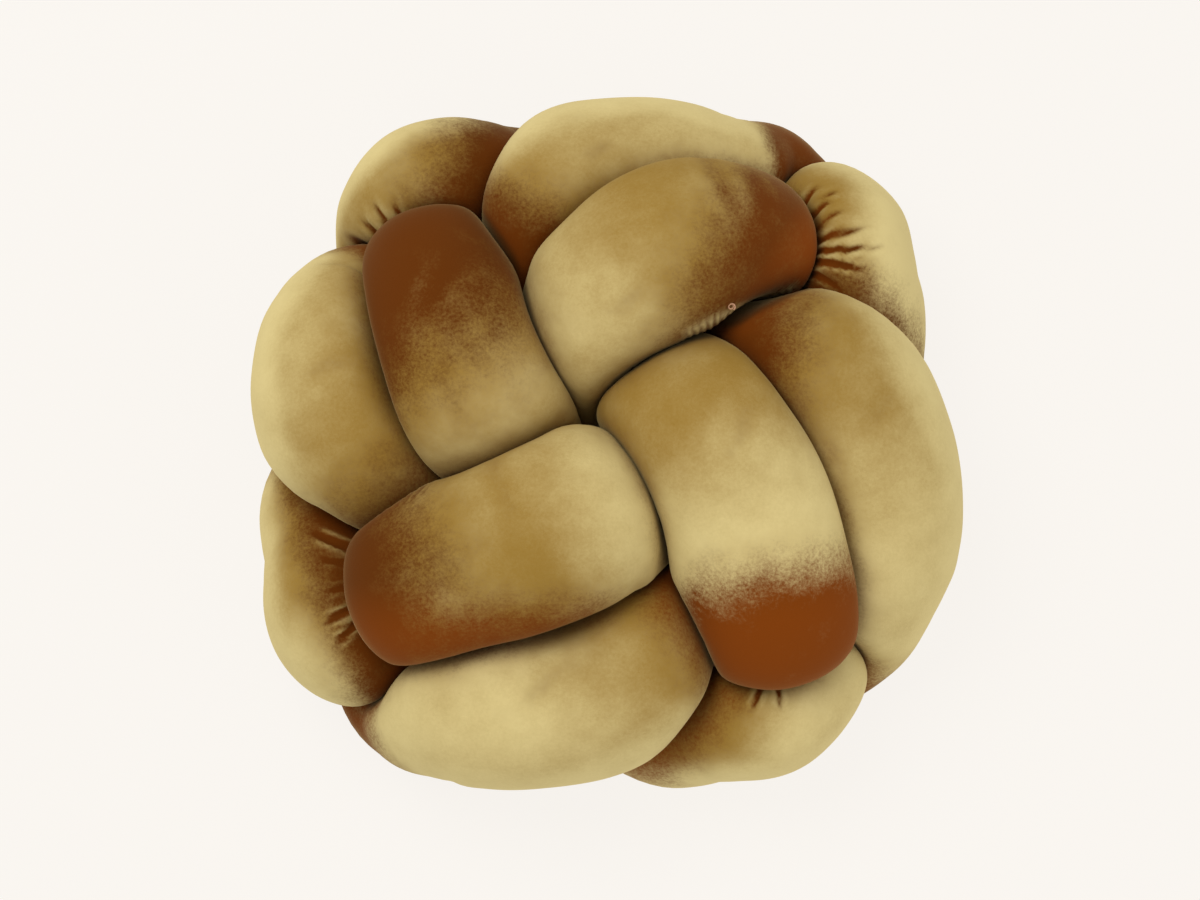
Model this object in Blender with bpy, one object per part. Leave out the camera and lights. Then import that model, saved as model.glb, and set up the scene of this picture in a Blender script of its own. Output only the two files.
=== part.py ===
"""Knot cushion: one filled velvet tube, laid over and under itself into a flat square knot.

The tube's middle line runs through the passes listed below. The passes are then eased
apart until each lies on or beside its neighbours, as a soft filled tube settles. The skin
keeps the tube's girth: where two passes press on each other they meet in a flat, and the
tube swells out on its free sides. Lengths are in centimetres until the mesh is made.
"""
import math

import bpy
import numpy as np

CM = 0.01
FAR = 1e9               # a reach that nothing limits
TINY = 1e-9             # keeps a division away from nothing

# ---- the tube --------------------------------------------------------------------------
RINGS = 256             # sections along the closed tube
SIDES = 20              # points round a section, one of them straight down
PRESSED = 0.86          # height of a pressed tube, as a share of its free height
CLEARANCE = 0.40        # left open between two passes that press on each other
OTHER_PASS = (1.4, 3.0) # radii along the tube over which it becomes another pass
OWN_BEND = 3.0          # length along the tube past which its own bend limits it
BEND_SHARE = 0.92       # how near the skin comes to the middle of its own bend
LEAST_REACH = 0.5       # least distance from the middle line to the skin
CORNER_POWER = 9        # how crisply a pressed flat turns into the round side
FULLER_WINS = 0.15      # how far the fuller of two passes pushes the flat towards the other
LEAST_SWELL = 0.95      # how far a section may shrink or grow towards its free sides
MOST_SWELL = 1.30
SWELL_STEPS = 30        # steps in which a section grows until it has its girth back
SWELL_RATE = 0.7

# ---- the middle line -------------------------------------------------------------------
CURVE_POINTS = 16       # points of the smooth curve between two stations
BETWEEN = 4             # places between two sections at which a pass is looked for

# ---- easing the passes apart -----------------------------------------------------------
STEPS = 500
TOUCH = 0.88            # distance at which two passes touch, as a share of their radii
SAME_PASS = 1.3         # touching distances along the tube that do not push on each other
PUSH = 0.30             # share of an overlap that one step takes away
PUSH_SHARED = 0.6       # how much less each contact pushes where there are many
SINK = 0.02             # how far the tube sinks in one step
HOLD = 0.50             # how much of the way back to its own place one step takes it
HOLD_HEIGHT = 0.3       # how much less it is held up or down than level
STIFF_NEAR = 0.15       # how much one step takes out of a short kink
STIFF_FAR = 0.10        # and out of a longer one

# ---- the passes ------------------------------------------------------------------------
# A station is (across, back, height, tube radius). Back is away from the front edge, and
# a pass has four stations from its start to its end along the tube.
PASSES = {
    # four passes that cross in the middle, each from its corner inwards
    "cross_nw": ((-13.8, 17.8, 5.6, 3.9), (-14.6, 14.2, 13.6, 5.8),
                 (-12.6, 8.3, 17.0, 6.9), (-8.6, 1.2, 15.0, 7.0)),
    "cross_sw": ((-17.8, -12.8, 5.6, 3.9), (-15.9, -12.7, 13.6, 6.5),
                 (-8.4, -8.7, 17.0, 7.5), (-0.7, -3.8, 15.0, 7.0)),
    "cross_se": ((13.4, -17.6, 5.6, 3.9), (13.9, -15.0, 13.6, 6.3),
                 (12.1, -6.6, 17.0, 7.4), (5.3, 3.3, 15.0, 6.7)),
    "cross_ne": ((15.4, 14.6, 5.6, 3.9), (13.3, 17.4, 13.6, 4.6),
                 (5.6, 16.2, 17.0, 7.2), (-1.0, 10.4, 15.0, 6.9)),
    # four loops round the corners
    "loop_nw": ((-8.5, 20.4, 10.5, 5.0), (-12.6, 22.5, 11.5, 4.9),
                (-16.3, 21.0, 11.5, 4.9), (-18.8, 17.6, 9.5, 3.8)),
    "loop_sw": ((-22.6, -9.4, 10.5, 4.9), (-23.2, -13.2, 11.5, 4.9),
                (-21.8, -16.0, 11.5, 4.9), (-19.2, -18.2, 9.5, 3.7)),
    "loop_se": ((7.6, -22.0, 10.5, 5.0), (11.4, -22.8, 11.5, 4.9),
                (14.4, -21.3, 11.5, 4.9), (16.6, -18.3, 9.5, 3.8)),
    "loop_ne": ((19.4, 10.0, 10.5, 5.1), (20.2, 14.2, 11.5, 5.0),
                (18.8, 17.9, 11.5, 5.0), (16.6, 20.0, 9.5, 3.8)),
    # four passes along the edges, each from under a cross pass out to its corner
    "edge_n": ((-7.2, 18.0, 11.2, 6.1), (-2.8, 21.7, 12.0, 6.1),
               (5.6, 22.8, 12.8, 6.1), (11.8, 20.0, 11.6, 5.5)),
    "edge_w": ((-18.2, -1.6, 12.0, 6.0), (-21.8, 2.0, 14.0, 6.7),
               (-22.5, 7.6, 14.0, 6.6), (-20.4, 11.7, 12.2, 5.9)),
    "edge_s": ((5.4, -15.8, 12.3, 6.3), (-0.4, -20.3, 13.5, 6.8),
               (-8.4, -21.7, 14.0, 6.8), (-13.8, -20.0, 12.4, 6.1)),
    "edge_e": ((14.3, 9.1, 13.3, 6.7), (19.2, 3.1, 14.0, 7.0),
               (22.1, -4.8, 14.0, 7.0), (20.6, -11.2, 12.6, 6.6)),
}

# The turns out of sight, the same in each quarter but for how far out they come. They are
# placed for the quarter that starts at the north-west corner, and each next quarter is
# turned by a right angle. The two ways are those in which a turn comes out where it shows,
# in a notch between two passes or at a corner.
UNDER_THE_CROSS = ((-2.8, -5.6, 4.6, 5.1), (-1.0, -14.5, 4.0, 4.4),
                   (0.5, -20.0, 4.2, 4.6), (4.0, -22.0, 6.5, 5.0))
UNDER_THE_EDGE = ((19.2, -14.6, 5.0, 3.9), (16.0, -9.5, 4.0, 4.0),
                  (11.5, -9.5, 4.0, 4.0), (8.5, -14.0, 6.0, 4.4))
UNDER_THE_LOOP = ((-16.6, -19.8, 6.5, 4.0), (-19.4, -17.8, 4.2, 3.8),
                  (-20.0, -14.5, 4.2, 3.8))
TO_THE_NOTCH = (0.0, -1.0)
TO_THE_CORNER = (-0.7, -0.7)

# Along the tube: cross pass, turn, corner loop, turn, edge pass, turn, then the next quarter.
# The last two columns are how far the turn before the loop comes out in its notch, and the
# turn after the edge pass at its corner.
QUARTERS = (
    ("cross_nw", "loop_se", "edge_s", 2.4, 0.2),
    ("cross_sw", "loop_ne", "edge_e", 1.0, -1.4),
    ("cross_se", "loop_nw", "edge_n", 0.0, -0.3),
    ("cross_ne", "loop_sw", "edge_w", 3.3, -1.5),
)

# How firmly a pass keeps its place while the passes are eased apart.
HOLD_SHOWN = 1.0        # the middle of a pass that shows
HOLD_END = 0.30         # its two ends
HOLD_HIDDEN = 0.25      # a turn out of sight


def rising(value, low, high):
    """A smooth rise from 0 at low to 1 at high."""
    t = np.clip((value - low) / (high - low), 0.0, 1.0)
    return t * t * (3 - 2 * t)


def turned(stations, quarter, way=(0.0, 0.0), out_by=()):
    """Stations moved out along a way and turned about the middle by right angles."""
    out = []
    for i, (across, back, height, radius) in enumerate(stations):
        if i < len(out_by):
            across, back = across + way[0] * out_by[i], back + way[1] * out_by[i]
        for _ in range(quarter):
            across, back = -back, across
        out.append((across, back, height, radius))
    return out


def route():
    """All stations in order along the tube, each with its hold as a fifth column."""
    shown = (HOLD_END, HOLD_SHOWN, HOLD_SHOWN, HOLD_END)
    hidden = (HOLD_HIDDEN,) * 4
    rows = []
    for quarter, (cross, loop, edge, notch, corner) in enumerate(QUARTERS):
        to_notch = (0.0, 0.0, notch / 2, notch)
        to_corner = (corner, corner, corner / 2)
        stretches = (
            (PASSES[cross], shown),
            (turned(UNDER_THE_CROSS, quarter, TO_THE_NOTCH, to_notch), hidden),
            (PASSES[loop], shown),
            (turned(UNDER_THE_EDGE, quarter), hidden),
            (PASSES[edge], shown),
            (turned(UNDER_THE_LOOP, quarter, TO_THE_CORNER, to_corner), hidden),
        )
        for stations, holds in stretches:
            rows += [tuple(station) + (hold,) for station, hold in zip(stations, holds)]
    return np.array(rows)


def evenly(line, count):
    """The closed line again with evenly spaced points, and its length."""
    closed = np.vstack([line, line[:1]])
    steps = np.linalg.norm(np.diff(closed[:, :3], axis=0), axis=1)
    along = np.concatenate([[0.0], np.cumsum(steps)])
    places = np.linspace(0.0, along[-1], count, endpoint=False)
    columns = [np.interp(places, along, closed[:, k]) for k in range(line.shape[1])]
    return np.stack(columns, axis=1), along[-1]


def smooth_closed(rows, count):
    """A centripetal Catmull-Rom curve through the stations, evenly spaced."""
    total = len(rows)
    line = []
    for i in range(total):
        p0, p1, p2, p3 = (rows[(i + k) % total] for k in (-1, 0, 1, 2))
        t0 = 0.0
        t1 = t0 + math.sqrt(np.linalg.norm((p1 - p0)[:3]))
        t2 = t1 + math.sqrt(np.linalg.norm((p2 - p1)[:3]))
        t3 = t2 + math.sqrt(np.linalg.norm((p3 - p2)[:3]))
        for t in np.linspace(t1, t2, CURVE_POINTS, endpoint=False):
            a1 = ((t1 - t) * p0 + (t - t0) * p1) / (t1 - t0)
            a2 = ((t2 - t) * p1 + (t - t1) * p2) / (t2 - t1)
            a3 = ((t3 - t) * p2 + (t - t2) * p3) / (t3 - t2)
            b1 = ((t2 - t) * a1 + (t - t0) * a2) / (t2 - t0)
            b2 = ((t3 - t) * a2 + (t - t1) * a3) / (t3 - t1)
            line.append(((t2 - t) * b1 + (t - t1) * b2) / (t2 - t1))
    return evenly(np.array(line), count)


def eased(line, length):
    """The middle line after its passes have pushed each other apart and settled."""
    start = line[:, :3]
    radius = line[:, 3]
    hold = line[:, 4:5]
    count = len(line)
    place = np.arange(count)
    apart = np.abs(place[:, None] - place[None, :])
    apart = np.minimum(apart, count - apart) * length / count
    touch = (radius[:, None] + radius[None, :]) * TOUCH
    same_pass = apart < touch * SAME_PASS
    tall = np.array([1.0, 1.0, 1.0 / PRESSED])
    holding = hold * HOLD * (1.0, 1.0, HOLD_HEIGHT)
    points = start.copy()
    for _ in range(STEPS):
        scaled = points * tall
        away = scaled[:, None] - scaled[None]
        distance = np.linalg.norm(away, axis=2) + TINY
        overlap = np.where(same_pass, 0.0, np.maximum(0.0, touch - distance))
        pushes = (away / distance[..., None] * overlap[..., None]).sum(axis=1)
        contacts = np.maximum(1, (overlap > 0.0).sum(axis=1))
        pushes *= PUSH / contacts[:, None] ** PUSH_SHARED
        near = (np.roll(points, 1, 0) + np.roll(points, -1, 0)) / 2 - points
        far = (np.roll(points, 2, 0) + np.roll(points, -2, 0)) / 2 - points
        points = points + pushes / tall + STIFF_NEAR * near + STIFF_FAR * far
        points = points + (start - points) * holding
        points[:, 2] = np.maximum(points[:, 2] - SINK, radius * PRESSED)
    return np.hstack([points, line[:, 3:4]])


def section_axes(points):
    """At each section, the level direction across the tube and the one square to it."""
    forward = np.roll(points, -1, 0) - np.roll(points, 1, 0)
    forward /= np.linalg.norm(forward, axis=1)[:, None]
    across = np.cross(forward, (0.0, 0.0, 1.0))
    across /= np.linalg.norm(across, axis=1)[:, None]
    return across, np.cross(across, forward)


def room(line, directions):
    """How far each section may reach in each direction before it meets another pass."""
    points = line[:, :3]
    radius = line[:, 3]
    count = len(line)
    shares = (np.arange(BETWEEN) / BETWEEN)[None, :, None]
    between = line[:, None] * (1 - shares) + np.roll(line, -1, 0)[:, None] * shares
    others = between.reshape(-1, line.shape[1])
    spacing = np.linalg.norm(np.roll(points, -1, 0) - points, axis=1).mean()
    reach = np.zeros(directions.shape[:2])
    for i in range(count):
        away = others[:, :3] - points[i]
        apart = np.abs(np.arange(len(others)) / BETWEEN - i)
        apart = np.minimum(apart, count - apart) * spacing
        other_pass = rising(apart, OTHER_PASS[0] * radius[i], OTHER_PASS[1] * radius[i])
        facing = directions[i] @ away.T
        fuller = FULLER_WINS * (radius[i] ** 2 - others[:, 3] ** 2)
        power = (away ** 2).sum(axis=1) + fuller * other_pass
        ahead = (facing > TINY) & (apart > OWN_BEND)
        half_way = np.where(ahead, power / np.maximum(2 * facing, TINY), FAR)
        kept = BEND_SHARE + (1 - BEND_SHARE) * other_pass
        reach[i] = (half_way * kept - other_pass * CLEARANCE / 2).min(axis=1)
    return np.maximum(reach, LEAST_REACH)


def softened(reach):
    """Reaches averaged a little along the tube and round the section."""
    along = (np.roll(reach, 1, 0) + 2 * reach + np.roll(reach, -1, 0)) / 4
    return (np.roll(along, 1, 1) + 4 * along + np.roll(along, -1, 1)) / 6


def skin(line):
    """Points of the tube's skin, a row for each section."""
    points = line[:, :3]
    radius = line[:, 3:4]
    across, upward = section_axes(points)
    angles = 2 * math.pi * np.arange(SIDES) / SIDES
    cosine = np.cos(angles)[None, :, None]
    sine = np.sin(angles)[None, :, None]
    directions = cosine * across[:, None] + sine * upward[:, None]
    limit = room(line, directions)
    falling = -directions[..., 2]
    to_floor = np.where(falling > TINY, points[:, 2:3] / np.maximum(falling, TINY), FAR)
    swell = np.ones_like(radius)
    girth = 2 * math.pi * radius
    for _ in range(SWELL_STEPS):
        free = radius * swell
        reach = (free ** -CORNER_POWER + limit ** -CORNER_POWER) ** (-1 / CORNER_POWER)
        reach = np.minimum(reach, to_floor)
        outline = np.stack([reach * np.cos(angles), reach * np.sin(angles)], axis=2)
        around = np.linalg.norm(np.roll(outline, -1, 1) - outline, axis=2).sum(axis=1)
        swell = np.clip(swell * (girth / around[:, None]) ** SWELL_RATE, LEAST_SWELL, MOST_SWELL)
    reach = np.minimum(np.minimum(softened(reach), limit), to_floor)
    return points[:, None] + directions * reach[..., None]


def centred(sections):
    """The skin moved level, so that the middle of its box is over the origin."""
    corners = sections.reshape(-1, 3)
    middle = (corners.min(axis=0) + corners.max(axis=0)) / 2
    return sections - middle * (1.0, 1.0, 0.0)


def velvet():
    """Gold velvet."""
    material = bpy.data.materials.new("gold_velvet")
    material.use_nodes = True
    shader = material.node_tree.nodes["Principled BSDF"]
    shader.inputs["Base Color"].default_value = (0.42, 0.30, 0.11, 1.0)
    shader.inputs["Roughness"].default_value = 0.85
    shader.inputs["Metallic"].default_value = 0.0
    return material


def knot_tube():
    """The whole cushion: one closed tube."""
    rows, length = smooth_closed(route(), RINGS)
    line, _ = evenly(eased(rows, length), RINGS)
    sections = centred(skin(line)) * CM
    faces = []
    for i in range(RINGS):
        j = (i + 1) % RINGS
        for k in range(SIDES):
            m = (k + 1) % SIDES
            faces.append((i * SIDES + k, j * SIDES + k, j * SIDES + m, i * SIDES + m))
    mesh = bpy.data.meshes.new("knot_tube")
    mesh.from_pydata(sections.reshape(-1, 3).tolist(), [], faces)
    mesh.shade_smooth()
    mesh.materials.append(velvet())
    tube = bpy.data.objects.new("knot_tube", mesh)
    bpy.context.collection.objects.link(tube)
    return tube


def main():
    for old in list(bpy.data.objects):
        bpy.data.objects.remove(old)
    knot_tube()


main()
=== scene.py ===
"""Knot cushion in gold velvet: one fat filled tube, laid over and under itself.

The tube's middle line follows the same passes as the solid it stands for. Its skin is
worked out again with far finer sections: it meets its neighbours in tight creases, and it
is gathered where a corner loop turns round a cross pass. The velvet is gold, brown where
its pile is stroked the other way, with painted sheen on its open tops, outer sides, fold
ridges and one seam, and painted shade in its creases and folds, beside the passes above it
and on the turns out of sight. A curl of sewing thread stands on one seam. Lengths are in
centimetres until a mesh is made, and in metres from the materials on.
"""

import math

import bpy
import numpy as np
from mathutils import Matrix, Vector, noise


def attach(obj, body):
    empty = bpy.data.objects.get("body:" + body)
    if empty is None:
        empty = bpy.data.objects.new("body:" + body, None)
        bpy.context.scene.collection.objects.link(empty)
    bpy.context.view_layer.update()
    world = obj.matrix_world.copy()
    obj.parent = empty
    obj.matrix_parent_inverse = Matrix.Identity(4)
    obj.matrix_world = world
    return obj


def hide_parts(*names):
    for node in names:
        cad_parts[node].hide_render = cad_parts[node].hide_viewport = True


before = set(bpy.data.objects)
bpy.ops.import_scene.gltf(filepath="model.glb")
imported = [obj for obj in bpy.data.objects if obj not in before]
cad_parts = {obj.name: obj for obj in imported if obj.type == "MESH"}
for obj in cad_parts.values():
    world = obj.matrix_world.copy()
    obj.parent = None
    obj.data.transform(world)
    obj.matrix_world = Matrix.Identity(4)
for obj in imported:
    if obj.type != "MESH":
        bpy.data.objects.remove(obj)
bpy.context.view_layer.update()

CM = 0.01
FAR = 1e9               # a reach that nothing limits
TINY = 1e-9             # keeps a division away from nothing

# ---- the tube --------------------------------------------------------------------------
RINGS = 256             # sections of the line while its passes are eased apart
SIDES = 72              # points round a section of the finished skin
TOP_FINER = 0.35        # how much closer those points lie on the upper side
PRESSED = 0.86          # height of a pressed tube, as a share of its free height
CLEARANCE = 0.10        # left open between two passes that press on each other
OTHER_PASS = (1.4, 3.0)  # radii along the tube over which it becomes another pass
OWN_BEND = 3.0          # length along the tube past which its own bend limits it
BEND_SHARE = 0.94       # how near the skin comes to the middle of its own bend
LEAST_REACH = 0.5       # least distance from the middle line to the skin
CORNER_POWER = 10       # how crisply a pressed flat turns into the round side
FULLER_WINS = 0.15      # how far the fuller of two passes pushes the flat towards the other
LEAST_SWELL = 0.95      # how far a section may shrink or grow towards its free sides
MOST_SWELL = 1.30
SWELL_STEPS = 24        # steps in which a section grows until it has its girth back
SWELL_RATE = 0.7        # and how quickly it grows in each
SWELL_EVENED = 90       # times its growth is evened out along the tube
SOFTENED_ALONG = 8      # times the skin's reach is evened out along the tube
SOFTENED_ROUND = 3      # and round a section
RING_SHOWN = 0.36       # distance between sections where the tube shows
RING_LOOP = 0.22        # where a corner loop is gathered
RING_HIDDEN = 0.90      # and out of sight
RING_MARGIN = 0.35      # share of a pass by which its closer sections run on past its ends
RINGS_EVENED = 4        # times the distance between sections is evened out

# ---- the middle line -------------------------------------------------------------------
CURVE_POINTS = 16       # points of the smooth curve between two stations
BETWEEN = 4             # places between two sections at which a pass is looked for

# ---- easing the passes apart -----------------------------------------------------------
STEPS = 500
TOUCH = 0.88            # distance at which two passes touch, as a share of their radii
SAME_PASS = 1.3         # touching distances along the tube that do not push on each other
PUSH = 0.30             # share of an overlap that one step takes away
PUSH_SHARED = 0.6       # how much less each contact pushes where there are many
SINK = 0.02             # how far the tube sinks in one step
HOLD = 0.50             # how much of the way back to its own place one step takes it
HOLD_HEIGHT = 0.3       # and how much of that it is held up or down
STIFF_NEAR = 0.15       # how much one step takes out of a short kink
STIFF_FAR = 0.10        # and out of a longer one

# ---- the passes ------------------------------------------------------------------------
# A station is (across, back, height, tube radius). Back is away from the front edge, and
# a pass has four stations from its start to its end along the tube.
PASSES = {
    # four passes that cross in the middle, each from its corner inwards
    "cross_nw": ((-13.8, 17.8, 5.6, 3.9), (-14.6, 14.2, 13.6, 5.8),
                 (-12.6, 8.3, 17.0, 6.9), (-8.6, 1.2, 15.0, 7.0)),
    "cross_sw": ((-17.8, -12.8, 5.6, 3.9), (-15.9, -12.7, 13.6, 6.5),
                 (-8.4, -8.7, 17.0, 7.5), (-0.7, -3.8, 15.0, 7.0)),
    "cross_se": ((13.4, -17.6, 5.6, 3.9), (13.9, -15.0, 13.6, 6.3),
                 (12.1, -6.6, 17.0, 7.4), (5.3, 3.3, 15.0, 6.7)),
    "cross_ne": ((15.4, 14.6, 5.6, 3.9), (13.3, 17.4, 13.6, 4.6),
                 (5.6, 16.2, 17.0, 7.2), (-1.0, 10.4, 15.0, 6.9)),
    # four loops round the corners
    "loop_nw": ((-8.5, 20.4, 10.5, 5.0), (-12.6, 22.5, 11.5, 4.9),
                (-16.3, 21.0, 11.5, 4.9), (-18.8, 17.6, 9.5, 3.8)),
    "loop_sw": ((-22.6, -9.4, 10.5, 4.9), (-23.2, -13.2, 11.5, 4.9),
                (-21.8, -16.0, 11.5, 4.9), (-19.2, -18.2, 9.5, 3.7)),
    "loop_se": ((7.6, -22.0, 10.5, 5.0), (11.4, -22.8, 11.5, 4.9),
                (14.4, -21.3, 11.5, 4.9), (16.6, -18.3, 9.5, 3.8)),
    "loop_ne": ((19.4, 10.0, 10.5, 5.1), (20.2, 14.2, 11.5, 5.0),
                (18.8, 17.9, 11.5, 5.0), (16.6, 20.0, 9.5, 3.8)),
    # four passes along the edges, each from under a cross pass out to its corner
    "edge_n": ((-7.2, 18.0, 11.2, 6.1), (-2.8, 21.7, 12.0, 6.1),
               (5.6, 22.8, 12.8, 6.1), (11.8, 20.0, 11.6, 5.5)),
    "edge_w": ((-18.2, -1.6, 12.0, 6.0), (-21.8, 2.0, 14.0, 6.7),
               (-22.5, 7.6, 14.0, 6.6), (-20.4, 11.7, 12.2, 5.9)),
    "edge_s": ((5.9, -16.0, 12.3, 6.5), (-0.4, -20.3, 13.5, 6.8),
               (-8.4, -21.7, 14.0, 6.8), (-13.8, -20.0, 12.4, 6.1)),
    "edge_e": ((14.3, 9.1, 13.3, 6.7), (19.2, 3.1, 14.0, 7.0),
               (22.1, -4.8, 14.0, 7.0), (20.6, -11.2, 12.6, 6.6)),
}

# The turns out of sight, the same in each quarter but for how far out they come. They are
# placed for the quarter that starts at the north-west corner, and each next quarter is
# turned by a right angle. The two ways are those in which a turn comes out where it shows,
# in a notch between two passes or at a corner.
UNDER_THE_CROSS = ((-2.2, -4.7, 4.6, 5.2), (-1.0, -14.5, 4.0, 4.4),
                   (0.5, -20.0, 4.2, 4.6), (4.0, -22.0, 6.5, 5.0))
UNDER_THE_EDGE = ((19.2, -14.6, 5.0, 3.9), (16.0, -9.5, 4.0, 4.0),
                  (11.5, -9.5, 4.0, 4.0), (8.6, -14.5, 6.0, 4.6))
UNDER_THE_LOOP = ((-16.6, -19.8, 6.5, 4.0), (-19.4, -17.8, 4.2, 3.8),
                  (-20.0, -14.5, 4.2, 3.8))
TO_THE_NOTCH = (0.0, -1.0)
TO_THE_CORNER = (-0.7, -0.7)

# Along the tube: cross pass, turn, corner loop, turn, edge pass, turn, then the next quarter.
# The last two columns are how far the turn before the loop comes out in its notch, and the
# turn after the edge pass at its corner.
QUARTERS = (
    ("cross_nw", "loop_se", "edge_s", 2.4, 0.2),
    ("cross_sw", "loop_ne", "edge_e", 1.0, -1.4),
    ("cross_se", "loop_nw", "edge_n", 0.0, -0.3),
    ("cross_ne", "loop_sw", "edge_w", 3.3, -1.5),
)

# How firmly a pass keeps its place while the passes are eased apart.
HOLD_SHOWN = 1.0        # the middle of a pass that shows
HOLD_END = 0.30         # its two ends
HOLD_HIDDEN = 0.25      # a turn out of sight

# A pass by the share of its length, 0 at its first station and 1 at its fourth.
PASS_FROM = -0.3        # its folds and colours are full from here
PASS_TO = 1.3           # to here
PASS_FADE = 0.25        # and fade over this share beyond

# Columns of the middle line.
RADIUS = 3
HOLDING = 4
PLACE = 5               # how far along the route, counted in stations

# ---- the velvet's pile, and the sheen and shade painted on it --------------------------
# Brown patches, where the pile is stroked the other way: the pass, where the brown starts
# (across, back), where it is full (across, back), how brown it gets, and how red.
BROWN = (
    ("cross_nw", (-7.6, -0.6), (-14.6, 14.0), 0.92, 0.00),
    ("cross_nw", (-11.0, 6.6), (-18.0, 9.6), 1.00, 0.10),
    ("cross_ne", (4.6, 18.0), (13.4, 15.0), 0.88, 0.20),
    ("cross_ne", (12.6, 16.4), (16.8, 13.8), 0.95, 0.95),
    ("cross_se", (13.2, -7.8), (14.8, -15.0), 0.97, 0.60),
    ("cross_sw", (-9.0, -8.4), (-20.0, -12.4), 1.00, 0.05),
    ("cross_sw", (-4.0, -11.4), (-4.0, -16.6), 0.85, 0.50),
    ("edge_n", (-4.4, 22.6), (-8.0, 15.4), 1.00, 0.00),
    ("edge_n", (13.2, 22.4), (15.2, 22.8), 0.90, 0.10),
    ("edge_e", (19.6, 6.0), (10.6, 7.6), 1.00, 0.15),
    ("edge_s", (1.6, -16.6), (7.0, -12.4), 0.92, 0.75),
    ("edge_w", (-19.4, 2.4), (-14.0, -3.4), 0.56, 0.15),
    ("loop_nw", (-18.6, 24.4), (-10.2, 21.0), 0.95, 0.00),
    ("loop_ne", (22.3, 17.0), (18.4, 13.0), 0.80, 0.10),
    ("loop_se", (13.0, -24.6), (8.6, -21.0), 0.62, 0.55),
    ("loop_sw", (-27.4, -11.6), (-22.0, -9.6), 0.95, 0.10),
)
SHADE_BROWN_HIDDEN = 0.85     # painted shade: how brown the turns are that lie under the others
SHADE_RED_HIDDEN = 0.3        # and how red that painted shade is
SHADE_BROWN_BESIDE = 0.46     # painted shade: how brown the velvet is beside a crease with the pass above
SHADE_BROWN_ON_TOP = 0.34     # and that painted shade beside a crease of a pass that lies on top
SHADE_RED_BESIDE = 0.45       # how red that painted shade is
SHADE_BESIDE_GAP = 1.5            # the gap between two passes at which that painted shade fades
PATCH_EDGE = (-0.15, 1.1)  # how a patch fades in: 0 is where it starts, 1 where it is full
# Where a pass gives way to the painted shade of the turns out of sight, by the share of its
# length.
LOOP_SHOWN_FROM = -0.28
SHOWN_TO = {"edge_n": 0.98, "edge_e": 1.2, "edge_s": 1.1, "edge_w": 1.1}
SHOWN_FADE = 0.24       # over what share of a pass
SHEEN_OUTER = 0.95       # painted sheen: how pale the outer sides of the lower passes are
SHEEN_OUTER_SIDE = (0.25, 0.95)  # how far outwards a side faces where that painted sheen shows
RIDGE_HIGHLIGHT = 0.5        # painted highlight: how pale the ridges between folds are
# Painted sheen, pale parts where the velvet would shine towards the eye: the pass, where they
# start, where they are full (across, back), and how pale they get.
SHEEN_PARTS = (
    ("cross_nw", (-13.0, 6.4), (-8.0, 0.2), 0.35),
    ("cross_ne", (5.0, 16.8), (-2.6, 12.0), 0.45),
    ("cross_se", (8.0, 2.6), (13.2, -6.6), 0.78),
    ("cross_sw", (-6.6, -7.6), (1.4, -4.6), 0.65),
    ("edge_n", (-4.4, 21.2), (4.0, 26.6), 0.50),
    ("edge_e", (20.4, 5.0), (26.0, -9.0), 0.70),
    ("edge_s", (2.0, -15.6), (-7.6, -21.0), 0.72),
    ("edge_w", (-18.6, 6.6), (-27.0, 9.0), 0.35),
    ("loop_nw", (-15.4, 21.8), (-20.4, 24.6), 0.30),
    ("loop_ne", (19.4, 17.4), (24.4, 18.0), 1.05),
    ("loop_se", (11.2, -22.8), (16.4, -25.6), 0.80),
    ("loop_sw", (-23.8, -14.4), (-26.6, -17.4), 0.70),
)

# ---- folds in the velvet ---------------------------------------------------------------
# The loops are gathered where they come out from under the end of a cross pass. A row for
# each fold: the pass, where it starts (across, back), its heading in degrees from the
# right, its length, its depth and half its width.
FOLDS = (
    ("loop_ne", (16.4, 19.6), 60.0, 2.6, 0.30, 0.20),
    ("loop_ne", (17.2, 18.7), 46.0, 3.8, 0.38, 0.22),
    ("loop_ne", (17.8, 17.6), 34.0, 3.0, 0.28, 0.18),
    ("loop_ne", (18.1, 16.6), 16.0, 4.6, 0.40, 0.24),
    ("loop_ne", (18.2, 15.6), 3.0, 5.6, 0.42, 0.22),
    ("loop_ne", (18.1, 14.6), -10.0, 4.0, 0.36, 0.22),
    ("loop_ne", (17.6, 13.6), -30.0, 2.6, 0.26, 0.18),
    ("loop_nw", (-17.2, 18.7), 116.0, 2.3, 0.25, 0.20),
    ("loop_nw", (-18.4, 18.1), 126.0, 3.1, 0.34, 0.22),
    ("loop_nw", (-19.2, 17.3), 138.0, 2.8, 0.31, 0.22),
    ("loop_nw", (-19.8, 16.4), 150.0, 3.3, 0.31, 0.22),
    ("loop_sw", (-21.8, -9.0), 158.0, 3.5, 0.34, 0.26),
    ("loop_sw", (-21.9, -10.4), 172.0, 2.2, 0.16, 0.22),
    ("loop_sw", (-21.9, -12.6), 192.0, 1.6, 0.12, 0.22),
    ("loop_sw", (-21.4, -14.4), 212.0, 2.5, 0.31, 0.22),
    ("loop_sw", (-20.6, -15.5), 226.0, 2.8, 0.34, 0.22),
    ("loop_se", (12.6, -21.0), 250.0, 2.0, 0.25, 0.22),
    ("loop_se", (14.2, -21.1), 278.0, 1.8, 0.22, 0.22),
)
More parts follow.
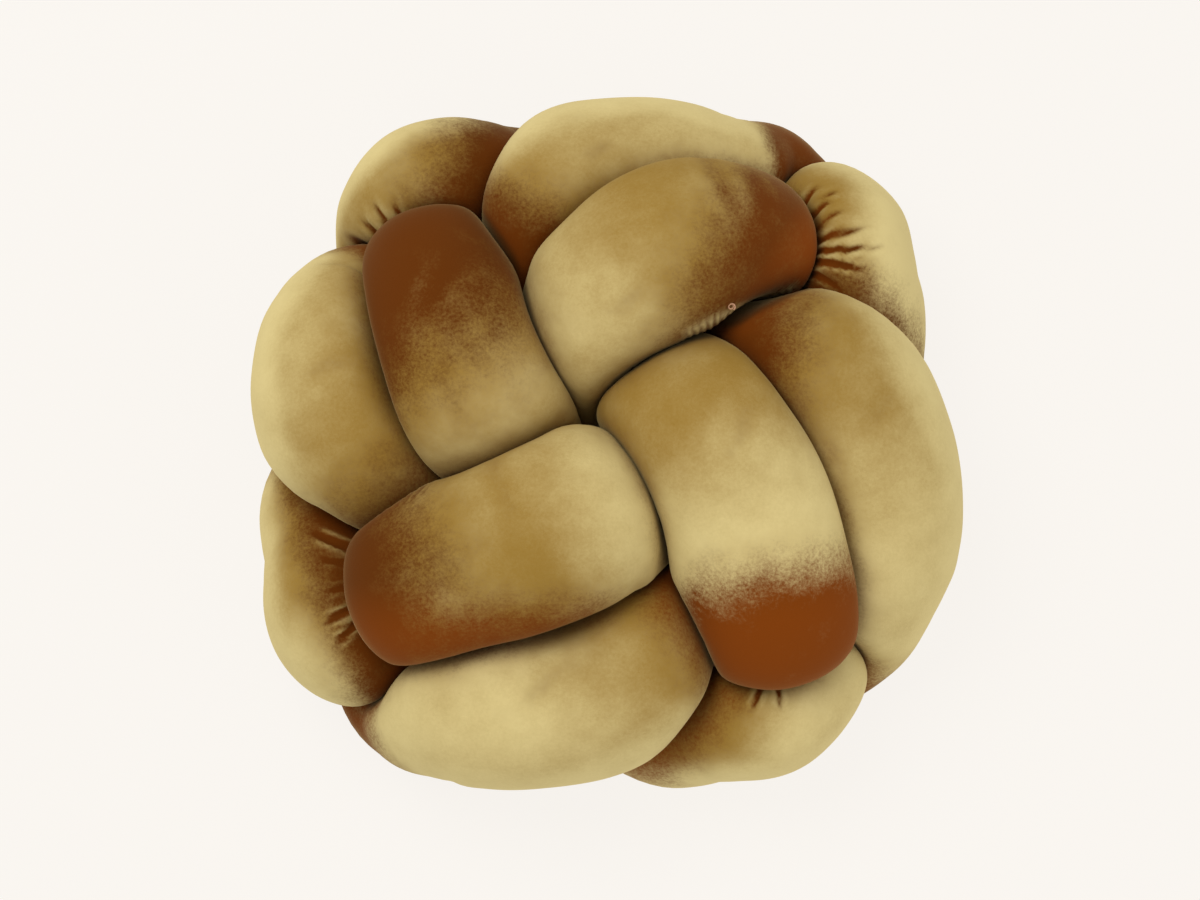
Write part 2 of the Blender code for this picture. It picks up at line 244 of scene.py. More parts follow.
# Soft creases in the open velvet, in the same columns.
CREASES = (
    ("cross_ne", (8.0, 22.4), 300.0, 6.5, 0.07, 0.70),
    ("cross_ne", (12.0, 20.6), 290.0, 4.5, 0.05, 0.60),
    ("cross_ne", (0.6, 9.6), 40.0, 5.0, 0.06, 0.70),
    ("cross_se", (11.0, 1.0), 250.0, 5.5, 0.06, 0.80),
    ("cross_sw", (-9.0, -3.4), 300.0, 5.0, 0.06, 0.80),
    ("cross_nw", (-12.8, 12.8), 240.0, 4.5, 0.06, 0.70),
    ("edge_w", (-24.0, 5.0), 20.0, 5.0, 0.07, 0.80),
    ("edge_e", (23.0, 2.5), 235.0, 5.0, 0.07, 0.90),
    ("edge_s", (-6.0, -21.0), 30.0, 6.0, 0.07, 0.90),
    ("edge_n", (0.0, 24.0), 200.0, 5.0, 0.06, 0.80),
)
# Seams that draw small puckers: the pass, its two ends (across, back), how many puckers,
# their depth, how far they run in from the seam, and how strong a painted highlight runs along
# it.
PUCKERS = (
    ("cross_ne", (6.3, 7.9), (16.1, 12.9), 17, 0.16, 0.45, 0.85),
    ("cross_sw", (-21.4, -7.0), (-14.6, -3.8), 9, 0.15, 0.8, 0.20),
    ("cross_se", (7.0, -12.5), (9.6, -19.8), 9, 0.08, 0.6, 0.0),
)
FULLNESS = 0.10         # how unevenly the filling lies
FULLNESS_SIZE = 5.0     # and over what length
DRIFT = 0.35            # how far a fold strays from straight
FOLDED_SIDE = (-0.5, -0.1)  # how far up a side faces where its folds fade in
FOLD_START = (-1.4, -0.2)   # where a fold fades in, along its length
FOLD_OPEN = 0.35        # the share of its length at which it begins to fade out
FOLD_SHADING_DEPTH = 0.25        # the depth at which a fold's painted shade is full; its ridges' painted highlight is scaled by it too
RIDGE = 0.45            # height of the ridges beside it, as a share of its depth
RIDGE_OFF = 2.0         # and their distance from it, in half widths
SEAM_FADE = 0.6         # length over which a puckered seam fades at its ends
SEAM_LIT = 0.35         # how far from it its painted highlight reaches
SEAM_SIDE = (0.0, 0.35)     # how far up its side faces where that shows
PUCKER_DRIFT = 4.0      # how unevenly its puckers are spaced
CREASE_SHADE_GAP = 0.35      # the gap between two passes at which their painted crease shade is still dark
CREASE_SHADE_ON_TOP = 0.85    # how much of that painted shade a pass on top shows

# ---- the curl of thread on a puckered seam ---------------------------------------------
CURL_PASS = "cross_ne"
CURL_AT = (10.2, 10.3)  # (across, back)
CURL_INSIDE = 0.9       # how far inside its pass, at least, the curl stands, 1 being all in
CURL_FACING = 0.15      # how far up the skin faces, at least, where the curl stands
CURL_TURNS = 1.4
CURL_RADIUS = 0.30
CURL_INNER = 0.55       # its inner radius, as a share of that
CURL_FOOT = 0.02        # how high above the skin it begins
CURL_RISE = 0.22        # and how much higher it ends
CURL_THREAD = 0.06      # radius of the thread
CURL_POINTS = 24


def rising(value, low, high):
    """A smooth rise from 0 at low to 1 at high."""
    t = np.clip((value - low) / (high - low), 0.0, 1.0)
    return t * t * (3 - 2 * t)


def turned(stations, quarter, way=(0.0, 0.0), out_by=()):
    """Stations moved out along a way and turned about the middle by right angles."""
    out = []
    for i, (across, back, height, radius) in enumerate(stations):
        if i < len(out_by):
            across, back = across + way[0] * out_by[i], back + way[1] * out_by[i]
        for _ in range(quarter):
            across, back = -back, across
        out.append((across, back, height, radius))
    return out


def route():
    """All stations along the tube with their hold and place, and where each pass starts."""
    shown = (HOLD_END, HOLD_SHOWN, HOLD_SHOWN, HOLD_END)
    hidden = (HOLD_HIDDEN,) * 4
    rows = []
    starts = {}
    for quarter, (cross, loop, edge, notch, corner) in enumerate(QUARTERS):
        to_notch = (0.0, 0.0, notch / 2, notch)
        to_corner = (corner, corner, corner / 2)
        stretches = (
            (cross, PASSES[cross], shown),
            ("", turned(UNDER_THE_CROSS, quarter, TO_THE_NOTCH, to_notch), hidden),
            (loop, PASSES[loop], shown),
            ("", turned(UNDER_THE_EDGE, quarter), hidden),
            (edge, PASSES[edge], shown),
            ("", turned(UNDER_THE_LOOP, quarter, TO_THE_CORNER, to_corner), hidden),
        )
        for name, stations, holds in stretches:
            if name:
                starts[name] = len(rows)
            for station, hold in zip(stations, holds):
                rows.append(tuple(station) + (hold, float(len(rows))))
    return np.array(rows), starts


def row_of(line, index, stations):
    """Rows of a closed line by any whole number, with the place counted on past its end."""
    rows = line[index % len(line)].copy()
    rows[..., PLACE] += stations * (index // len(line))
    return rows


def evenly(line, count, stations):
    """The closed line again with evenly spaced points, and its length."""
    closed = np.vstack([line, row_of(line, np.array([len(line)]), stations)])
    steps = np.linalg.norm(np.diff(closed[:, :3], axis=0), axis=1)
    along = np.concatenate([[0.0], np.cumsum(steps)])
    places = np.linspace(0.0, along[-1], count, endpoint=False)
    columns = [np.interp(places, along, closed[:, k]) for k in range(line.shape[1])]
    return np.stack(columns, axis=1), along[-1]


def smooth_closed(rows, count):
    """A centripetal Catmull-Rom curve through the stations, evenly spaced."""
    total = len(rows)
    line = []
    for i in range(total):
        p0, p1, p2, p3 = (row_of(rows, np.array(i + k), total) for k in (-1, 0, 1, 2))
        t0 = 0.0
        t1 = t0 + math.sqrt(np.linalg.norm((p1 - p0)[:3]))
        t2 = t1 + math.sqrt(np.linalg.norm((p2 - p1)[:3]))
        t3 = t2 + math.sqrt(np.linalg.norm((p3 - p2)[:3]))
        for t in np.linspace(t1, t2, CURVE_POINTS, endpoint=False):
            a1 = ((t1 - t) * p0 + (t - t0) * p1) / (t1 - t0)
            a2 = ((t2 - t) * p1 + (t - t1) * p2) / (t2 - t1)
            a3 = ((t3 - t) * p2 + (t - t2) * p3) / (t3 - t2)
            b1 = ((t2 - t) * a1 + (t - t0) * a2) / (t2 - t0)
            b2 = ((t3 - t) * a2 + (t - t1) * a3) / (t3 - t1)
            line.append(((t2 - t) * b1 + (t - t1) * b2) / (t2 - t1))
    return evenly(np.array(line), count, total)


def eased(line, length):
    """The middle line after its passes have pushed each other apart and settled."""
    start = line[:, :3]
    radius = line[:, RADIUS]
    hold = line[:, HOLDING:HOLDING + 1]
    count = len(line)
    place = np.arange(count)
    apart = np.abs(place[:, None] - place[None, :])
    apart = np.minimum(apart, count - apart) * length / count
    touch = (radius[:, None] + radius[None, :]) * TOUCH
    same_pass = apart < touch * SAME_PASS
    tall = np.array([1.0, 1.0, 1.0 / PRESSED])
    holding = hold * HOLD * (1.0, 1.0, HOLD_HEIGHT)
    points = start.copy()
    for _ in range(STEPS):
        scaled = points * tall
        away = scaled[:, None] - scaled[None]
        distance = np.linalg.norm(away, axis=2) + TINY
        overlap = np.where(same_pass, 0.0, np.maximum(0.0, touch - distance))
        pushes = (away / distance[..., None] * overlap[..., None]).sum(axis=1)
        contacts = np.maximum(1, (overlap > 0.0).sum(axis=1))
        pushes *= PUSH / contacts[:, None] ** PUSH_SHARED
        near = (np.roll(points, 1, 0) + np.roll(points, -1, 0)) / 2 - points
        far = (np.roll(points, 2, 0) + np.roll(points, -2, 0)) / 2 - points
        points = points + pushes / tall + STIFF_NEAR * near + STIFF_FAR * far
        points = points + (start - points) * holding
        points[:, 2] = np.maximum(points[:, 2] - SINK, radius * PRESSED)
    return np.hstack([points, line[:, 3:]])


def share_along(place, start):
    """How far along a pass each place is: 0 at its first station and 1 at its fourth."""
    return (place - start) / 3.0


def closer_rings(line, starts, stations):
    """The line with a section as often as each stretch of the tube needs one."""
    step = np.linalg.norm(np.roll(line[:, :3], -1, 0) - line[:, :3], axis=1).mean()
    spacing = np.full(len(line), RING_HIDDEN)
    for name, start in starts.items():
        share = share_along(line[:, PLACE], start)
        shown = (share > -RING_MARGIN) & (share < 1 + RING_MARGIN)
        spacing[shown] = RING_LOOP if name.startswith("loop") else RING_SHOWN
    for _ in range(RINGS_EVENED):
        spacing = (np.roll(spacing, 1) + 2 * spacing + np.roll(spacing, -1)) / 4
    counted = np.concatenate([[0.0], np.cumsum(step / spacing)])
    rings = int(counted[-1])
    at = np.interp(np.linspace(0.0, counted[-1], rings, endpoint=False), counted,
                   np.arange(len(line) + 1))
    whole = np.floor(at).astype(int)
    part = (at - whole)[:, None]
    p0, p1, p2, p3 = (row_of(line, whole + k, stations) for k in (-1, 0, 1, 2))
    return 0.5 * (2 * p1 + (p2 - p0) * part + (2 * p0 - 5 * p1 + 4 * p2 - p3) * part ** 2
                  + (3 * p1 - p0 - 3 * p2 + p3) * part ** 3)


def section_axes(points):
    """At each section, the level direction across the tube and the one square to it."""
    forward = np.roll(points, -1, 0) - np.roll(points, 1, 0)
    forward /= np.linalg.norm(forward, axis=1)[:, None]
    across = np.cross(forward, (0.0, 0.0, 1.0))
    across /= np.linalg.norm(across, axis=1)[:, None]
    return across, np.cross(across, forward)


def room(rings, along, line, directions):
    """How far each ring may reach in each direction before it meets another pass."""
    count = len(line)
    shares = (np.arange(BETWEEN) / BETWEEN)[None, :, None]
    between = line[:, None] * (1 - shares) + np.roll(line, -1, 0)[:, None] * shares
    others = between.reshape(-1, line.shape[1])
    spacing = np.linalg.norm(np.roll(line[:, :3], -1, 0) - line[:, :3], axis=1).mean()
    reach = np.zeros(directions.shape[:2])
    for i, ring in enumerate(rings):
        away = others[:, :3] - ring[:3]
        apart = np.abs(np.arange(len(others)) / BETWEEN - along[i])
        apart = np.minimum(apart, count - apart) * spacing
        other_pass = rising(apart, OTHER_PASS[0] * ring[RADIUS], OTHER_PASS[1] * ring[RADIUS])
        facing = directions[i] @ away.T
        fuller = FULLER_WINS * (ring[RADIUS] ** 2 - others[:, RADIUS] ** 2)
        power = (away ** 2).sum(axis=1) + fuller * other_pass
        ahead = (facing > TINY) & (apart > OWN_BEND)
        half_way = np.where(ahead, power / np.maximum(2 * facing, TINY), FAR)
        kept = BEND_SHARE + (1 - BEND_SHARE) * other_pass
        reach[i] = (half_way * kept - other_pass * CLEARANCE / 2).min(axis=1)
    return np.maximum(reach, LEAST_REACH)


def side_angles():
    """Angles of the points round a section, from the level side, closer together on top."""
    even = 2 * math.pi * np.arange(SIDES) / SIDES
    return even + TOP_FINER * (np.cos(even) - 1.0)


def softened(reach, times_along, times_round):
    """Reaches averaged along the tube and round the section."""
    for _ in range(times_along):
        reach = (np.roll(reach, 1, 0) + 2 * reach + np.roll(reach, -1, 0)) / 4
    for _ in range(times_round):
        reach = (np.roll(reach, 1, 1) + 2 * reach + np.roll(reach, -1, 1)) / 4
    return reach


def skin(rings, along, line):
    """Points of the tube's skin, a row for each section, their directions out and their gaps."""
    points = rings[:, :3]
    radius = rings[:, RADIUS:RADIUS + 1]
    across, upward = section_axes(points)
    angles = side_angles()
    cosine = np.cos(angles)[None, :, None]
    sine = np.sin(angles)[None, :, None]
    directions = cosine * across[:, None] + sine * upward[:, None]
    limit = room(rings, along, line, directions)
    falling = -directions[..., 2]
    to_floor = np.where(falling > TINY, points[:, 2:3] / np.maximum(falling, TINY), FAR)
    swell = np.ones_like(radius)
    girth = 2 * math.pi * radius
    for _ in range(SWELL_STEPS):
        free = radius * swell
        reach = (free ** -CORNER_POWER + limit ** -CORNER_POWER) ** (-1 / CORNER_POWER)
        reach = np.minimum(reach, to_floor)
        outline = np.stack([reach * np.cos(angles), reach * np.sin(angles)], axis=2)
        around = np.linalg.norm(np.roll(outline, -1, 1) - outline, axis=2).sum(axis=1)
        grown = swell * (girth / around[:, None]) ** SWELL_RATE
        swell = np.clip(grown, LEAST_SWELL, MOST_SWELL)
        swell = (np.roll(swell, 1, 0) + 2 * swell + np.roll(swell, -1, 0)) / 4
    swell = softened(swell, SWELL_EVENED, 0)
    free = radius * swell
    reach = (free ** -CORNER_POWER + limit ** -CORNER_POWER) ** (-1 / CORNER_POWER)
    soft = softened(np.minimum(reach, to_floor), SOFTENED_ALONG, SOFTENED_ROUND)
    reach = np.minimum(np.minimum(soft, limit), to_floor)
    return points[:, None] + directions * reach[..., None], directions, limit - reach


def centred(sections):
    """The skin moved level, so that the middle of its box is over the origin."""
    corners = sections.reshape(-1, 3)
    middle = (corners.min(axis=0) + corners.max(axis=0)) / 2
    return sections - middle * (1.0, 1.0, 0.0)


def in_pass(share, low=PASS_FROM, high=PASS_TO, fade=PASS_FADE):
    """1 inside a pass, fading to 0 just past its ends."""
    return rising(share, low - fade, low) * (1 - rising(share, high, high + fade))


def straying(sections):
    """A slow wander of every point, in which folds and fullness lie unevenly."""
    wander = [noise.noise(Vector(point) / FULLNESS_SIZE) for point in sections.reshape(-1, 3)]
    return np.array(wander).reshape(sections.shape[:2])


def along_fold(sections, start, heading, wander):
    """Each point's distance along a fold and across it."""
    angle = math.radians(heading)
    offset = sections[..., :2] - np.array(start)
    along = offset[..., 0] * math.cos(angle) + offset[..., 1] * math.sin(angle)
    across = -offset[..., 0] * math.sin(angle) + offset[..., 1] * math.cos(angle)
    return along, across + wander * DRIFT


def folded(sections, directions, place, starts):
    """How deep each point lies in the folds and puckers, and the painted highlight along a
    puckered seam.
    """
    wander = straying(sections)
    folded_side = rising(directions[..., 2], *FOLDED_SIDE)
    lit_side = rising(directions[..., 2], *SEAM_SIDE)
    depths = np.zeros(sections.shape[:2])
    seam_highlight = np.zeros(sections.shape[:2])
    for name, start, heading, length, depth, half_width in FOLDS + CREASES:
        inside = in_pass(share_along(place, starts[name]))[:, None] * folded_side
        along, across = along_fold(sections, start, heading, wander)
        window = rising(along, *FOLD_START) * (1 - rising(along, FOLD_OPEN * length, length))
        trough = np.exp(-(across / half_width) ** 2)
        ridges = np.exp(-((np.abs(across) - RIDGE_OFF * half_width) / half_width) ** 2)
        depths += inside * window * depth * (trough - RIDGE * ridges)
    for name, start, end, count, depth, reach, lit in PUCKERS:
        inside = in_pass(share_along(place, starts[name]))[:, None] * folded_side
        way = np.array(end) - np.array(start)
        heading = math.degrees(math.atan2(way[1], way[0]))
        length = math.hypot(way[0], way[1])
        along, across = along_fold(sections, start, heading, wander)
        window = rising(along, -SEAM_FADE, SEAM_FADE)
        window = window * (1 - rising(along, length - SEAM_FADE, length + SEAM_FADE))
        near = np.exp(-(across / reach) ** 2)
        puckers = 2 * math.pi * along / length * count
        wave = 0.5 - 0.5 * np.cos(puckers + PUCKER_DRIFT * wander)
        depths += inside * window * near * depth * wave
        # a painted highlight along the seam, on its upward side
        rim = lit * inside * window * np.exp(-(across / SEAM_LIT) ** 2)
        seam_highlight = np.maximum(seam_highlight, rim * lit_side)
    return depths, seam_highlight, wander


def pile_shade_and_sheen(sections, directions, place, starts, gap):
    """How brown, red and pale each point is: the pile's brown patches, painted shade and painted
    sheen.
    """
    # painted shade: every turn out of sight starts brown and a little red
    brown = np.full(sections.shape[:2], SHADE_BROWN_HIDDEN)
    red = np.full(sections.shape[:2], SHADE_RED_HIDDEN)
    painted_sheen = np.zeros(sections.shape[:2])
    crease_shade_beside = np.exp(-np.maximum(gap, 0.0) / SHADE_BESIDE_GAP)
    level = sections[..., :2] / np.linalg.norm(sections[..., :2], axis=2)[..., None]
    outer_sheen = rising((directions[..., :2] * level).sum(axis=2), *SHEEN_OUTER_SIDE)
    for name in PASSES:
        begin = LOOP_SHOWN_FROM if name.startswith("loop") else PASS_FROM
        end = SHOWN_TO.get(name, PASS_TO)
        shown = in_pass(share_along(place, starts[name]), begin, end, SHOWN_FADE)[:, None]
        under = 0.0 if name.startswith("cross") else 1.0
        # painted shade beside a crease with another pass, brown and red
        near = SHADE_BROWN_BESIDE * under + SHADE_BROWN_ON_TOP * (1 - under)
        brown = brown * (1 - shown) + shown * near * crease_shade_beside
        red = red * (1 - shown) + shown * SHADE_RED_BESIDE * crease_shade_beside
        # painted sheen on the outer sides of the lower passes
        painted_sheen += shown * under * SHEEN_OUTER * outer_sheen
    for table, most in ((BROWN, (brown, red)), (SHEEN_PARTS, (painted_sheen,))):
        for name, start, full, *amounts in table:
            inside = in_pass(share_along(place, starts[name]))[:, None]
            way = np.array(full) - np.array(start)
            t = ((sections[..., :2] - np.array(start)) @ way) / (way @ way)
            for values, amount in zip(most, amounts):
                np.maximum(values, inside * rising(t, *PATCH_EDGE) * amount, out=values)
    return brown, red, painted_sheen


def crease_shade_strength(place, starts):
    """How strong each section's painted crease shade is: less on a cross pass, which lies on
    top.
    """
    share = np.ones(len(place))
    for name in PASSES:
        if name.startswith("cross"):
            share -= in_pass(share_along(place, starts[name])) * (1 - CREASE_SHADE_ON_TOP)
    return share[:, None]


def tube_of(sections, marks):
    """A closed tube through the sections, a ring of points each, with its marks."""
    count = len(sections)
    faces = []
    for i in range(count):
        j = (i + 1) % count
        for k in range(SIDES):
            m = (k + 1) % SIDES
            faces.append((i * SIDES + k, j * SIDES + k, j * SIDES + m, i * SIDES + m))
    mesh = bpy.data.meshes.new("velvet_tube")
    mesh.from_pydata((sections.reshape(-1, 3) * CM).tolist(), [], faces)
    mesh.shade_smooth()
    for name, values in marks.items():
        layer = mesh.attributes.new(name, "FLOAT", "POINT")
        layer.data.foreach_set("value", values.ravel())
    mesh.materials.append(velvet())
    tube = bpy.data.objects.new("velvet_tube", mesh)
    bpy.context.collection.objects.link(tube)
    return tube


def cushion():
    """The whole cushion: one closed tube of velvet, and the curl of thread on it."""
    stations, starts = route()
    rows, length = smooth_closed(stations, RINGS)
    line, length = evenly(eased(rows, length), RINGS, len(stations))
    rings = closer_rings(line, starts, len(stations))
    place = rings[:, PLACE]
    line_places = np.append(line[:, PLACE], line[0, PLACE] + len(stations))
    along = np.interp(place, line_places, np.arange(RINGS + 1))
    sections, directions, gap = skin(rings, along, line)
    sections = centred(sections)
    depths, seam_highlight, wander = folded(sections, directions, place, starts)
    brown, red, painted_sheen = pile_shade_and_sheen(sections, directions, place, starts, gap)
    sections = sections - directions * (depths + FULLNESS * wander)[..., None]
    sections[..., 2] = np.maximum(sections[..., 2], 0.0)
    tube = tube_of(sections, {
        "brown": brown * (1 - seam_highlight),
        "red": red,
        # painted sheen and highlights: outer sides, pale parts, the seam and the fold ridges
        "painted_sheen": painted_sheen + seam_highlight - RIDGE_HIGHLIGHT * np.minimum(depths / FOLD_SHADING_DEPTH, 0.0),
        # painted shade in the creases between passes
        "painted_crease_shade": np.exp(-np.maximum(gap, 0.0) / CREASE_SHADE_GAP) * crease_shade_strength(place, starts),
        # painted shade in the fold troughs and painted highlight on their ridges
        "fold_shading": np.clip(depths / FOLD_SHADING_DEPTH, -1.0, 1.0),
    })
    return tube, thread_curl(sections, directions, place, starts)


def curl_foot(sections, directions, place, starts):
    """Where the curl stands on the skin, and the way it faces."""
    inside = in_pass(share_along(place, starts[CURL_PASS]))[:, None] > CURL_INSIDE
    off = np.linalg.norm(sections[..., :2] - np.array(CURL_AT), axis=2)
    best = np.where(inside & (directions[..., 2] > CURL_FACING), off, FAR).argmin()
    facing = Vector(directions.reshape(-1, 3)[best]) + Vector((0.0, 0.0, 1.0))
    return Vector(sections.reshape(-1, 3)[best]), facing.normalized()


def thread_curl(sections, directions, place, starts):
    """A short curl of sewing thread, left standing on the seam."""
    foot, out = curl_foot(sections, directions, place, starts)
    side = out.cross(Vector((1.0, 0.0, 0.0))).normalized()
    up = side.cross(out)
    data = bpy.data.curves.new("thread_curl", "CURVE")
    data.dimensions = "3D"
    data.bevel_depth = CURL_THREAD * CM
    data.bevel_resolution = 2
    data.use_fill_caps = True
    spline = data.splines.new("POLY")
    spline.points.add(CURL_POINTS - 1)
    for i, point in enumerate(spline.points):
        share = i / (CURL_POINTS - 1)
        turn = 2 * math.pi * CURL_TURNS * share
        width = CURL_RADIUS * (CURL_INNER + (1 - CURL_INNER) * share)
        spot = foot + side * (width * math.cos(turn)) + up * (width * math.sin(turn))
        point.co = ((spot + out * (CURL_FOOT + CURL_RISE * share)) * CM).to_4d()
    curl = bpy.data.objects.new("thread_curl", data)
    bpy.context.collection.objects.link(curl)
    bpy.ops.object.select_all(action="DESELECT")
    curl.select_set(True)
    bpy.context.view_layer.objects.active = curl
    bpy.ops.object.convert(target="MESH")
    curl = bpy.context.active_object
    curl.data.shade_smooth()
    curl.data.materials.append(made_of("thread", THREAD)[0])
    return curl


# ---- materials -------------------------------------------------------------------------
GOLD = (0.287, 0.170, 0.032, 1.0)
# the light end of the gold's mottle, also the colour of its painted sheen
PALE_AND_SHEEN_GOLD = (0.66, 0.545, 0.25, 1.0)
# brown and rust of the pile's patches, also the colours of its painted shade
BROWN_PILE_AND_SHADE = (0.098, 0.025, 0.0008, 1.0)
RUST_PILE_AND_SHADE = (0.26, 0.054, 0.002, 1.0)
# the colour of the painted shade in the creases between passes
CREASE_SHADE_COLOUR = (0.085, 0.024, 0.0015, 1.0)

# Patterns in the pile: features for each metre, detail and roughness.
MOTTLE = (14.0, 4.0, 0.6)
STREAK = (36.0, 4.0, 0.6)
SPECKLE = (360.0, 3.0, 0.75)
PILE = (900.0, 2.0, 0.5)
PILE_STRENGTH = 0.25
PILE_DEPTH = 0.0006     # metres

MOTTLE_IN_GOLD = 0.9    # how much of each pattern shows in the gold
SPECKLE_IN_GOLD = 0.35
GOLD_RANGE = (-0.2, 1.1)    # from gold to pale gold, the pale end also its painted sheen
FOLD_SHADE_IN_BROWN = 0.8     # painted shade: how brown a fold is, and how much less brown its ridges
STREAK_IN_BROWN = 0.6   # how much of the streaks shows in the brown
GRAIN_AT_EDGE = 2.8     # how speckled the edge of a brown patch is
GRAIN_ELSEWHERE = 0.2
BROWN_RANGE = (0.02, 0.93)  # from gold to brown
CREASE_SHADE_RANGE = (0.4, 0.95)  # how far into a crease its painted shade begins and is full
CREASE_SHADE_MOST = 0.85      # and how much of the colour that painted shade takes there

VELVET = {
    "Roughness": 0.9,
    "Specular IOR Level": 0.08,
    "Sheen Weight": 0.20,
    "Sheen Roughness": 0.35,
    "Sheen Tint": (1.0, 0.82, 0.38, 1.0),
}
THREAD = {
    "Base Color": (0.58, 0.32, 0.19, 1.0),
    "Roughness": 0.8,
}
PALE_FLOOR = {
    "Base Color": (0.07, 0.068, 0.064, 1.0),
    "Roughness": 1.0,
    "Specular IOR Level": 0.0,
    "Emission Color": (0.955, 0.922, 0.88, 1.0),
    "Emission Strength": 0.92,
}
FLOOR_WIDE = 14.0       # metres

# The sockets of a mix node that hold colours.
MIX_FIRST = 6
MIX_SECOND = 7
MIX_RESULT = 2


def made_of(name, values):
    """A material and its shader, with the values of the shader's sockets by name."""
    material = bpy.data.materials.new(name)
    material.use_nodes = True
    shader = material.node_tree.nodes["Principled BSDF"]
    for socket, value in values.items():
        shader.inputs[socket].default_value = value
    return material, shader


def add_node(tree, kind, **values):
    """A node with the values of its sockets by name."""
    node = tree.nodes.new(kind)
    for name, value in values.items():
        node.inputs[name].default_value = value
    return node


def pattern(tree, where, scale, detail, roughness):
    """A noise pattern at a scale in features for each metre."""
    node = add_node(tree, "ShaderNodeTexNoise", Scale=scale, Detail=detail, Roughness=roughness)
    tree.links.new(where, node.inputs["Vector"])
    return node.outputs["Fac"]


def mark(tree, name):
    """One of the marks that the skin carries."""
    node = tree.nodes.new("ShaderNodeAttribute")
    node.attribute_name = name
    return node.outputs["Fac"]


def mixed(tree, share, first, second):
    """A colour between two colours or sockets."""
    node = tree.nodes.new("ShaderNodeMix")
    node.data_type = "RGBA"
    tree.links.new(share, node.inputs["Factor"])
    for number, value in ((MIX_FIRST, first), (MIX_SECOND, second)):
        if isinstance(value, tuple):
            node.inputs[number].default_value = value
        else:
            tree.links.new(value, node.inputs[number])
    return node.outputs[MIX_RESULT]


def maths(tree, operation, first, second):
    """A calculation on two numbers or sockets."""
    node = tree.nodes.new("ShaderNodeMath")
    node.operation = operation
    for socket, value in zip(node.inputs, (first, second)):
        if isinstance(value, float):
            socket.default_value = value
        else:
            tree.links.new(value, socket)
    return node.outputs[0]


def plus(tree, value, other, weight):
    """A value with part of another, which is centred on a half, added to it."""
    centred_other = maths(tree, "SUBTRACT", other, 0.5)
    return maths(tree, "ADD", value, maths(tree, "MULTIPLY", centred_other, weight))


def spread(tree, value, low, high, to_high=1.0):
    """A value taken smoothly from one range to another that begins at 0."""
    node = tree.nodes.new("ShaderNodeMapRange")
    node.interpolation_type = "SMOOTHSTEP"
    node.inputs["From Min"].default_value = low
    node.inputs["From Max"].default_value = high
    node.inputs["To Min"].default_value = 0.0
    node.inputs["To Max"].default_value = to_high
    tree.links.new(value, node.inputs["Value"])
    return node.outputs["Result"]


def gold_with_sheen(tree, mottle, speckle):
    """Gold, paler with painted sheen, and mottled and speckled."""
    lightness = plus(tree, mark(tree, "painted_sheen"), mottle, MOTTLE_IN_GOLD)
    lightness = plus(tree, lightness, speckle, SPECKLE_IN_GOLD)
    return mixed(tree, spread(tree, lightness, *GOLD_RANGE), GOLD, PALE_AND_SHEEN_GOLD)


def brown_pile_and_shade_share(tree, streak, speckle):
    """How much brown shows: all of it in a patch or painted shade, with a speckled edge, and
    some as painted shade in a fold.
    """
    brown = mark(tree, "brown")
    fold_shade = maths(tree, "MULTIPLY", mark(tree, "fold_shading"), FOLD_SHADE_IN_BROWN)
    at_edge = maths(tree, "MULTIPLY", brown, maths(tree, "SUBTRACT", 1.0, brown))
    grain = maths(tree, "MULTIPLY", at_edge, GRAIN_AT_EDGE)
    grain = maths(tree, "ADD", grain, GRAIN_ELSEWHERE)
    grains = maths(tree, "MULTIPLY", maths(tree, "SUBTRACT", speckle, 0.5), grain)
    share = maths(tree, "ADD", maths(tree, "ADD", brown, fold_shade), grains)
    return spread(tree, plus(tree, share, streak, STREAK_IN_BROWN), *BROWN_RANGE)


def velvet():
    """Gold velvet, brown where its pile lies the other way, with painted sheen, and painted
    shade in its creases.
    """
    material, shader = made_of("gold_velvet", VELVET)
    tree = material.node_tree
    where = tree.nodes.new("ShaderNodeTexCoord").outputs["Object"]
    mottle = pattern(tree, where, *MOTTLE)
    streak = pattern(tree, where, *STREAK)
    speckle = pattern(tree, where, *SPECKLE)
    gold = gold_with_sheen(tree, mottle, speckle)
    # the pile's own brown and rust, used also for the painted shade
    pile_and_shade_brown = mixed(tree, mark(tree, "red"), BROWN_PILE_AND_SHADE, RUST_PILE_AND_SHADE)
    colour = mixed(tree, brown_pile_and_shade_share(tree, streak, speckle), gold, pile_and_shade_brown)
    # painted shade in the creases between passes
    crease_shade = spread(tree, mark(tree, "painted_crease_shade"), *CREASE_SHADE_RANGE, CREASE_SHADE_MOST)
    colour = mixed(tree, crease_shade, colour, CREASE_SHADE_COLOUR)
    tree.links.new(colour, shader.inputs["Base Color"])
    bump = add_node(tree, "ShaderNodeBump", Strength=PILE_STRENGTH, Distance=PILE_DEPTH)
    tree.links.new(pattern(tree, where, *PILE), bump.inputs["Height"])
    tree.links.new(bump.outputs["Normal"], shader.inputs["Normal"])
    return material


def pale_floor():
    """The plain pale surface that the cushion lies on."""
    bpy.ops.object.select_all(action="DESELECT")
    bpy.ops.mesh.primitive_plane_add(size=FLOOR_WIDE)
    floor = bpy.context.active_object
    floor.name = "pale_floor"
    floor.data.materials.append(made_of("pale_floor", PALE_FLOOR)[0])


# ---- camera and light ------------------------------------------------------------------
CAMERA_AWAY = 2.2       # metres from the point looked at
CAMERA_UP = 86.0        # degrees above the floor
LOOKED_AT = (-0.005, -0.0076, 0.12)
METRES_PER_PIXEL = 0.000845  # at the point looked at
PICTURE_WIDE = 1200     # pixels
SENSOR_WIDE = 36.0      # millimetres
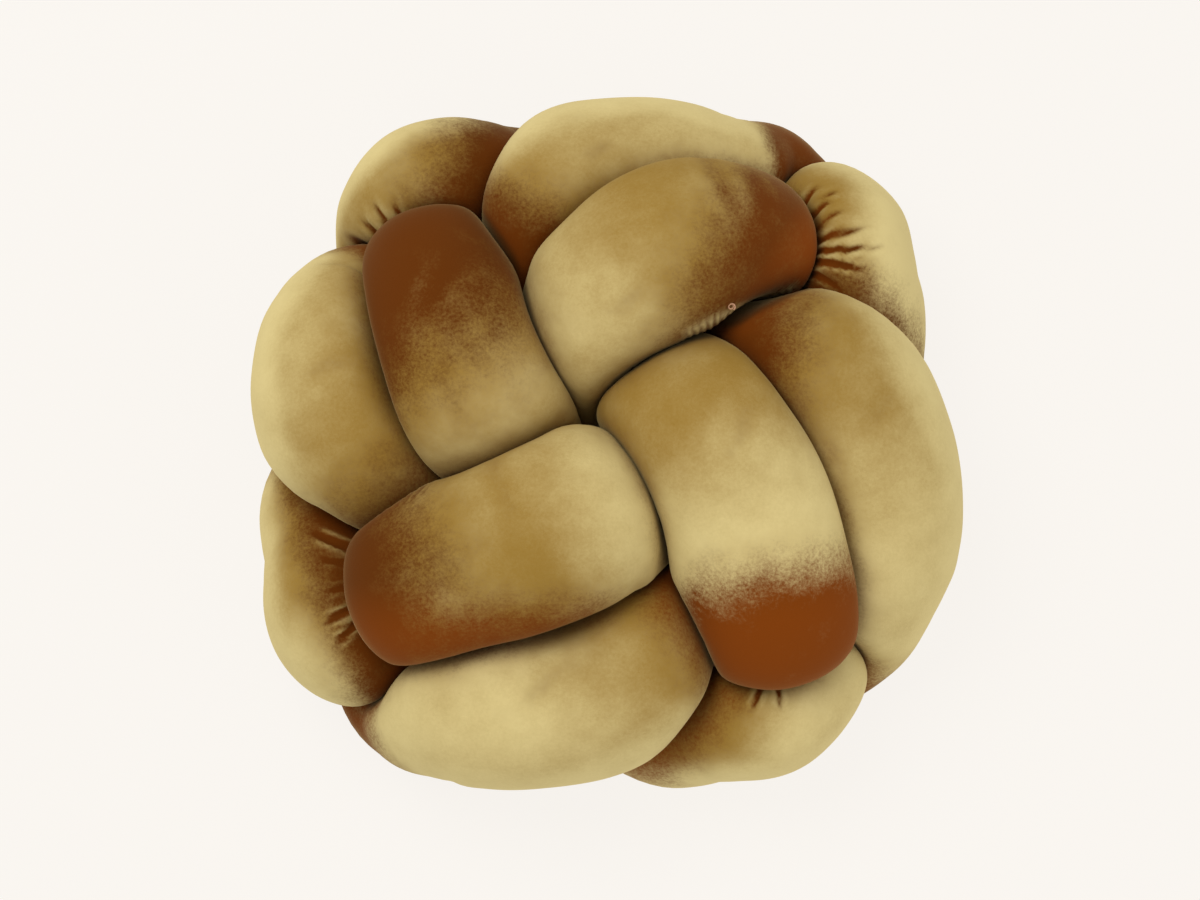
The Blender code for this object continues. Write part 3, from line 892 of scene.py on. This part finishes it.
# Lamps: name, place, size, power and colour.
LAMPS = (
    ("key", (-0.9, 0.9, 2.5), 1.6, 38.0, (1.0, 0.98, 0.94)),
    ("fill", (1.6, -1.2, 1.4), 1.8, 10.0, (1.0, 0.97, 0.93)),
)
LAMPS_FACE = (0.0, 0.0, 0.1)
SKY_COLOUR = (1.0, 0.985, 0.96, 1.0)
SKY_STRENGTH = 0.64


def faces_to(thing, point):
    """Turns a camera or a lamp to a point."""
    way = Vector(point) - thing.location
    thing.rotation_euler = way.to_track_quat("-Z", "Y").to_euler()


def camera():
    """The camera, almost straight above the cushion."""
    data = bpy.data.cameras.new("camera")
    made = bpy.data.objects.new("camera", data)
    bpy.context.collection.objects.link(made)
    up = math.radians(CAMERA_UP)
    away = Vector((0.0, -math.cos(up), math.sin(up))) * CAMERA_AWAY
    made.location = Vector(LOOKED_AT) + away
    faces_to(made, LOOKED_AT)
    data.sensor_width = SENSOR_WIDE
    data.lens = SENSOR_WIDE * CAMERA_AWAY / METRES_PER_PIXEL / PICTURE_WIDE
    bpy.context.scene.camera = made


def soft_light(name, place, size, power, colour):
    """A large soft lamp that faces the cushion."""
    data = bpy.data.lights.new(name, "AREA")
    data.shape = "DISK"
    data.size = size
    data.energy = power
    data.color = colour
    lamp = bpy.data.objects.new(name, data)
    bpy.context.collection.objects.link(lamp)
    lamp.location = place
    faces_to(lamp, LAMPS_FACE)


def studio():
    """Soft even light from all round, and a little more from above."""
    world = bpy.data.worlds.new("studio")
    world.use_nodes = True
    background = world.node_tree.nodes["Background"]
    background.inputs["Color"].default_value = SKY_COLOUR
    background.inputs["Strength"].default_value = SKY_STRENGTH
    bpy.context.scene.world = world
    for lamp in LAMPS:
        soft_light(*lamp)
    bpy.context.scene.view_settings.view_transform = "Standard"


def main():
    """The cushion with its floor, its light and its camera."""
    camera()
    studio()
    tube, curl = cushion()
    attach(curl, "root")
    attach(tube, "root")
    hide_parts("knot_tube")
    pale_floor()


main()
